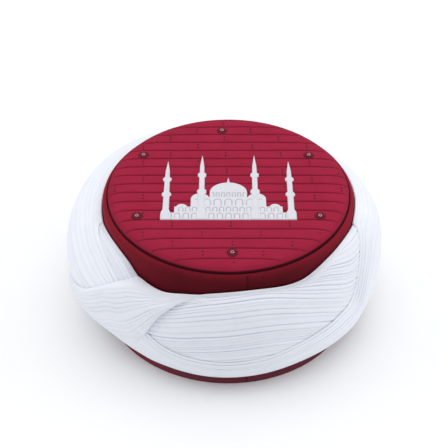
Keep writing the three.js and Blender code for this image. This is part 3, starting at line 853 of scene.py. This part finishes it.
def crown_panel():
    edge = seam_radius - clearance / 2
    first = math.floor((-edge - row_offset) / row_pitch)
    stations = [row_offset + (first + k) * row_pitch + step for k in range(19) for step in ROW_STEPS]
    stations = [y for y in stations if abs(y) < edge - 0.4]
    stations = np.array([-edge + 0.01, -edge + 0.2, *stations, edge - 0.2, edge - 0.01])
    share = -np.cos(np.linspace(0, math.pi, crown_columns + 1))
    reach = np.sqrt(edge**2 - stations**2)[:, None]
    x = reach * share[None, :]
    y = np.repeat(stations[:, None], crown_columns + 1, axis=1)
    height, groove = crown_surface(x, y)
    moved_x, moved_y = strayed(x, y)
    top = np.stack([axis_x + moved_x, axis_y + moved_y, height], -1)
    rows, columns = x.shape
    i, j = np.meshgrid(np.arange(rows - 1), np.arange(columns - 1), indexing="ij")
    a = i * columns + j
    faces = np.stack([a, a + 1, a + columns + 1, a + columns], -1).reshape(-1, 4).tolist()
    points = top.reshape(-1, 3)
    # Round its edge, then in along its underside
    rim = [i * columns + columns - 1 for i in range(rows)]
    rim += [(rows - 1) * columns + j for j in range(columns - 2, 0, -1)]
    rim += [i * columns for i in range(rows - 1, -1, -1)]
    rim += list(range(1, columns - 1))
    around = points[rim] - (axis_x, axis_y, 0)
    above = np.array(rim)
    for share_in in (1, 0.93, 0.8, 0.6, 0.4, 0.2, 0.04):
        x = around[:, 0] * share_in
        y = around[:, 1] * share_in
        height = np.maximum(dome_height(np.hypot(x, y)) - crown_thickness, seam_height - crown_edge_thickness)
        below = np.arange(len(rim)) + len(points)
        points = np.concatenate([points, np.stack([axis_x + x, axis_y + y, height], -1)])
        faces += np.stack([above, below, np.roll(below, -1), np.roll(above, -1)], -1).tolist()
        above = below
    faces.append(above[::-1].tolist())
    values = {"groove": np.concatenate([groove.ravel(), np.zeros(len(points) - groove.size)])}
    made = piece("crown_cloth", points, faces, crown_twill, ("crown_panel",), None, values, 40)


def stitches(name, pairs, radius, rise, material):
    """Short threads on the crown, each from one place of a pair to the other."""
    points = []
    faces = []
    sides = 6
    levels = 5
    for start, end in pairs:
        base = len(points)
        ahead = (end - start) / np.linalg.norm(end - start)
        side = np.cross(ahead, [0, 0, 1])
        side /= np.linalg.norm(side)
        up = np.cross(side, ahead)
        for level in range(levels):
            t = level / (levels - 1)
            middle = start + (end - start) * t + up * (rise * math.sin(math.pi * t) - radius * 0.4)
            thick = radius * (0.45 + 0.55 * math.sin(math.pi * t))
            for k in range(sides):
                angle = math.tau * k / sides
                points.append(middle + thick * (math.cos(angle) * side + math.sin(angle) * up))
        for level in range(levels - 1):
            ring = base + level * sides
            for k in range(sides):
                a = ring + k
                b = ring + (k + 1) % sides
                faces.append([a, b, b + sides, a + sides])
        faces.append(list(range(base, base + sides))[::-1])
        faces.append(list(range(base, base + levels * sides))[-sides:])
    piece(name, points, faces, material)


stitch_length = 2.3
stitch_gap = 0.75
joint_spacing = 41.0
joint_skew = 0.045
joint_places = (0.36, 0.7)  # where the two cross stitches of a joint lie, as shares of a row
joint_half_front = 0.62  # half of a cross stitch in front of the figure
joint_half_back = 1.1


def crown_point(x, y, lift):
    height, _ = crown_surface(np.array(float(x)), np.array(float(y)))
    moved_x, moved_y = strayed(x, y)
    return np.array([axis_x + moved_x, axis_y + moved_y, float(height) + lift])


def quilting():
    """The stitched lines of the crown, and the short cross stitches between them in a brick pattern."""
    chance = np.random.default_rng(5)
    pairs = []
    edge = seam_radius - 1.2
    lines = [row_offset + k * row_pitch for k in range(-9, 9) if abs(row_offset + k * row_pitch) < edge]
    for line in lines:
        reach = math.sqrt(edge**2 - line**2)
        x = -reach + chance.random()
        while x + stitch_length < reach:
            pairs.append((crown_point(x, line, 0.12), crown_point(x + stitch_length, line, 0.12)))
            x += stitch_length + stitch_gap * (0.7 + 0.6 * chance.random())
    stitches("quilting_thread", pairs, 0.24, 0.1, sewing_thread)
    pairs = []
    for order, line in enumerate(sorted(lines, reverse=True)):
        offset = joint_spacing / 2 if order % 2 else 0
        for k in range(-3, 3):
            x = offset + joint_spacing * k - joint_skew * line
            for part in joint_places:
                y = line - row_pitch * part
                if math.hypot(x, y) < edge - 4 and not in_figure(x, y):
                    half = joint_half_front if line < figure_base else joint_half_back
                    pairs.append((crown_point(x, y + half, 0.02), crown_point(x, y - half, 0.02)))
    stitches("cross_stitches", pairs, 0.5, 0.25, sewing_thread)


# Eyelets

eyelet_flange_share = 0.77  # of the whole flange, whose edge is under the stitches
eyelet_bore_share = 0.4  # of the flange
eyelet_rounding = 0.62
eyelet_flange_depth = 0.75
eyelet_depth = 4.5
eyelet_ring_radius = 4.1  # the outer end of the stitches round an eyelet
stitches_round = 40


def eyelets():
    pairs = []
    for number in range(1, 7):
        low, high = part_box(f"eyelet_{number}")
        centre = ((low.x + high.x) / 2 / MM, (low.y + high.y) / 2 / MM)
        flange = (high.x - low.x) / 2 / MM * eyelet_flange_share
        bore = flange * eyelet_bore_share
        tube = flange * 0.7
        top = high.z / MM
        under = top - eyelet_flange_depth
        outline = [(tube, top - eyelet_depth), (tube, under), (flange * 0.96, under)]
        for k in range(7):
            angle = math.pi * k / 6
            radius = (flange + bore) / 2 + (flange - bore) / 2 * math.cos(angle)
            outline.append((radius, top - eyelet_rounding * (1 - math.sin(angle))))
        outline.append((bore, top - eyelet_depth))
        made = spun(f"eyelet_metal_{number}", outline, 32, centre)
        settle(made, eyelet_metal, (f"eyelet_{number}",), 40)
        x = centre[0] - axis_x
        y = centre[1] - axis_y
        for k in range(stitches_round):
            across = math.cos(math.tau * k / stitches_round)
            deep = math.sin(math.tau * k / stitches_round)
            ends = (flange + 0.15, eyelet_ring_radius)
            pairs.append([crown_point(x + end * across, y + end * deep, 0.1) for end in ends])
    stitches("eyelet_stitching", pairs, 0.3, 0.3, eyelet_thread)


# Embroidery: a symmetrical building, as shares of its half width and its height

MINARET_PROFILE = table(("up", "half"), [
    (0, 1), (0.13, 1), (0.16, 0.68), (0.38, 0.66),
    (0.4, 1), (0.44, 1), (0.46, 0.6), (0.64, 0.58),
    (0.66, 0.92), (0.7, 0.92), (0.72, 0.5), (0.82, 0.48),
    (1, 0.06),
])
MINARETS = table(("across", "height"), [(0.925, 0.9), (0.4, 1)])
HALLS = table(("half", "height"), [(1, 0.1), (0.8, 0.19), (0.56, 0.32), (0.28, 0.42)])
DOMES = table(("across", "half", "foot", "rise"), [
    (0, 0.28, 0.41, 0.15),
    (0.42, 0.14, 0.31, 0.08),
    (0.69, 0.085, 0.18, 0.05),
])
FINIAL = [(-0.03, 0.54), (0.03, 0.54), (0, 0.65)]
# Rows of arches: where their feet are, their height, spacing and width, and how far out the row goes
ARCADES = table(("foot", "height", "pitch", "width", "out"), [
    (0.012, 0.075, 0.125, 0.078, 0.86),
    (0.112, 0.065, 0.1, 0.062, 0.75),
    (0.205, 0.095, 0.16, 0.105, 0.5),
    (0.335, 0.065, 0.08, 0.045, 0.25),
])


def figure_outlines():
    """The outlines that make up the figure, and whether each is a minaret."""
    size = wide, tall = (figure_half_width, figure_height)
    outlines = []
    for half, height in zip(*HALLS.values()):
        corners = [(-half, 0), (half, 0), (half, height), (-half, height)]
        outlines.append((np.array(corners) * size, False))
    for across, half, foot, rise in zip(*DOMES.values()):
        for side in (-1, 1) if across else (1,):
            angle = np.linspace(0, math.pi, 25)
            x = side * across * wide + half * wide * np.cos(angle)
            outlines.append((np.stack([x, (foot + rise * np.sin(angle)) * tall], 1), False))
    outlines.append((np.array(FINIAL) * size, True))
    for across, height in zip(*MINARETS.values()):
        for side in (-1, 1):
            half = MINARET_PROFILE["half"] * minaret_half_width
            up = MINARET_PROFILE["up"] * height * tall
            right = np.stack([side * across * wide + half, up], 1)
            left = np.stack([side * across * wide - half, up], 1)[::-1]
            outlines.append((np.concatenate([right, left]), True))
    return outlines


def distance_to(points, outline):
    """How far points are from an outline, less than 0 inside it."""
    ends = np.roll(outline, -1, axis=0)
    nearest = np.full(len(points), 1e9)
    inside = np.zeros(len(points), bool)
    for start, end in zip(outline, ends):
        run = end - start
        t = np.clip(((points - start) @ run) / max(run @ run, 1e-9), 0, 1)
        nearest = np.minimum(nearest, np.linalg.norm(points - start - t[:, None] * run, axis=1))
        crosses = (start[1] > points[:, 1]) != (end[1] > points[:, 1])
        rise = run[1] if abs(run[1]) > 1e-9 else 1e-9
        inside ^= crosses & (points[:, 0] < start[0] + (points[:, 1] - start[1]) / rise * run[0])
    return np.where(inside, -nearest, nearest)


OUTLINES = figure_outlines()


def in_figure(x, y):
    """Whether a place on the crown, from the cap's axis, is under the embroidery or close to it."""
    place = np.array([[x, y - figure_base]])
    return any(distance_to(place, outline)[0] < 1.5 for outline, _ in OUTLINES)


figure_cell = 0.32  # spacing of the embroidery's points
figure_rounding = 0.9  # how far in from its outline the stitching is rounded
figure_foot = 0.12  # its height at the outline
figure_puff = 0.5  # how much higher it is inside
cord_inset = 0.45  # the raised line along each outline: its place, half its width and its height
cord_half_width = 0.42
cord_rise = 0.22
arch_half_width = 0.55
arch_depth = 0.26


def arch_lines(points):
    """How close points are to the outlines of the arches, from 0 to 1."""
    close = np.zeros(len(points))
    for foot, height, pitch, width, out in zip(*ARCADES.values()):
        step = pitch * figure_half_width
        radius = width * figure_half_width / 2
        x = (points[:, 0] + step / 2) % step - step / 2
        y = points[:, 1] - foot * figure_height
        spring = height * figure_height - radius
        away = np.where(y < spring, np.abs(np.abs(x) - radius), np.abs(np.hypot(x, y - spring) - radius))
        shown = (y > 0) & (np.abs(points[:, 0]) < out * figure_half_width)
        close = np.maximum(close, np.clip(1 - away / arch_half_width, 0, 1) * shown)
    return close


def embroidery():
    half_cells = int(figure_half_width / figure_cell) + 4
    x = np.arange(-half_cells, half_cells + 1) * figure_cell
    y = np.arange(-3, int(figure_height / figure_cell) + 4) * figure_cell
    grid = np.stack(np.meshgrid(x, y, indexing="ij"), -1).reshape(-1, 2)
    rows = len(y)
    depths = np.stack([distance_to(grid, outline) for outline, _ in OUTLINES])
    body = depths.min(axis=0)
    # Corners near the outline are moved on to it
    slope = np.stack(np.gradient(body.reshape(len(x), rows), figure_cell), -1).reshape(-1, 2)
    slope /= np.linalg.norm(slope, axis=1, keepdims=True) + 1e-9
    near = np.abs(body) < figure_cell * 0.55
    grid = grid - slope * (body * near)[:, None]
    body = np.where(near, 0, body)
    minaret = np.stack([depth for depth, (_, slim) in zip(depths, OUTLINES) if slim]).min(axis=0) < 0
    rounded = np.sqrt(1 - (1 - np.clip(-body / figure_rounding, 0, 1)) ** 2)
    cords = np.clip(1 - np.abs(np.abs(depths) - cord_inset).min(axis=0) / cord_half_width, 0, 1)
    arches = arch_lines(grid) * ~minaret
    height = figure_foot + rounded * (figure_puff + cords * cord_rise - arches * arch_depth)
    ground = dome_height(np.hypot(grid[:, 0], grid[:, 1] + figure_base))
    top = np.stack([axis_x + grid[:, 0], axis_y + figure_base + grid[:, 1], ground + height], 1)
    i, j = np.meshgrid(np.arange(len(x) - 1), np.arange(rows - 1), indexing="ij")
    a = (i * rows + j).ravel()
    corners = np.stack([a, a + rows, a + rows + 1, a + 1], 1)
    kept = corners[(body[corners] <= 1e-9).all(axis=1)]
    used = np.unique(kept)
    renumber = np.full(len(grid), -1)
    renumber[used] = np.arange(len(used))
    kept = renumber[kept]
    # Threads lie level in the minarets, and upright in the rest
    places = np.where(minaret[:, None], grid, grid[:, ::-1])[used]
    points = top[used]
    # The edge goes down to the crown
    sides = np.concatenate([kept[:, [k, (k + 1) % 4]] for k in range(4)])
    key = np.sort(sides, axis=1) @ [len(used), 1]
    _, first, uses = np.unique(key, return_index=True, return_counts=True)
    rim = sides[first[uses == 1]]
    lower = np.unique(rim)
    sunk = points[lower] - (0, 0, figure_foot + figure_puff)
    below = np.full(len(used), -1)
    below[lower] = len(used) + np.arange(len(lower))
    skirt = np.stack([rim[:, 1], rim[:, 0], below[rim[:, 0]], below[rim[:, 1]]], 1)
    faces = np.concatenate([kept, skirt])
    places = np.concatenate([places, places[lower]])
    groove = np.concatenate([arches[used] - cords[used] * 0.4, np.zeros(len(lower))])
    points = np.concatenate([points, sunk])
    corner_uv = places[faces.ravel()]
    values = {"groove": np.clip(groove, 0, 1)}
    name = "mosque_embroidery_thread"
    replaced = ("mosque_embroidery",)
    piece(name, points, faces.tolist(), satin_thread, replaced, corner_uv, values)


cap_wall()
crown_panel()
embroidery()
quilting()
eyelets()
wrap_inner()
wrap_outer()
wrap_cross()


# Floor, light and camera


def floor():
    bpy.ops.mesh.primitive_plane_add(size=12, location=(0, 0, 0))
    made = bpy.context.active_object
    made.name = "floor"
    made.data.materials.append(floor_white)


def soft_light(name, place, aim, size, power):
    data = bpy.data.lights.new(name, "AREA")
    data.shape = "SQUARE"
    data.size = size
    data.energy = power
    made = in_scene(name, data)
    made.location = place
    direction = np.array(aim) - np.array(place)
    flat = math.hypot(direction[0], direction[1])
    made.rotation_euler = Euler((math.atan2(flat, -direction[2]), 0, math.atan2(-direction[0], direction[1])))


def surroundings(strength):
    world = bpy.data.worlds.new("studio")
    world.use_nodes = True
    background = next(node for node in world.node_tree.nodes if node.type == "BACKGROUND")
    background.inputs["Color"].default_value = (0.97, 0.985, 1, 1)
    background.inputs["Strength"].default_value = strength
    bpy.context.scene.world = world


def camera():
    """The photograph's camera: 40 degrees above the table, straight in front."""
    data = bpy.data.cameras.new("camera")
    data.lens = 97.28
    data.sensor_width = 36
    data.clip_start = 0.05
    data.clip_end = 50
    made = in_scene("camera", data)
    made.location = ((axis_x - 3.14) * MM, (axis_y - 685.75) * MM, 653.35 * MM)
    made.rotation_euler = Euler((math.radians(49.64), 0, 0))
    bpy.context.scene.camera = made


floor()
surroundings(0.6)
soft_light("softbox_above", (0, 0.3, 1.6), (0, 0, 0), 2.4, 16.5)
soft_light("softbox_left", (-1.7, 0, 0.8), (0, 0, 0.05), 1.2, 5.5)
soft_light("softbox_right", (1.7, 0, 0.8), (0, 0, 0.05), 1.2, 7)
soft_light("softbox_front", (0, -1.6, 1.3), (0, 0, 0.05), 1.2, 2)
camera()
bpy.context.scene.view_settings.view_transform = "Standard"
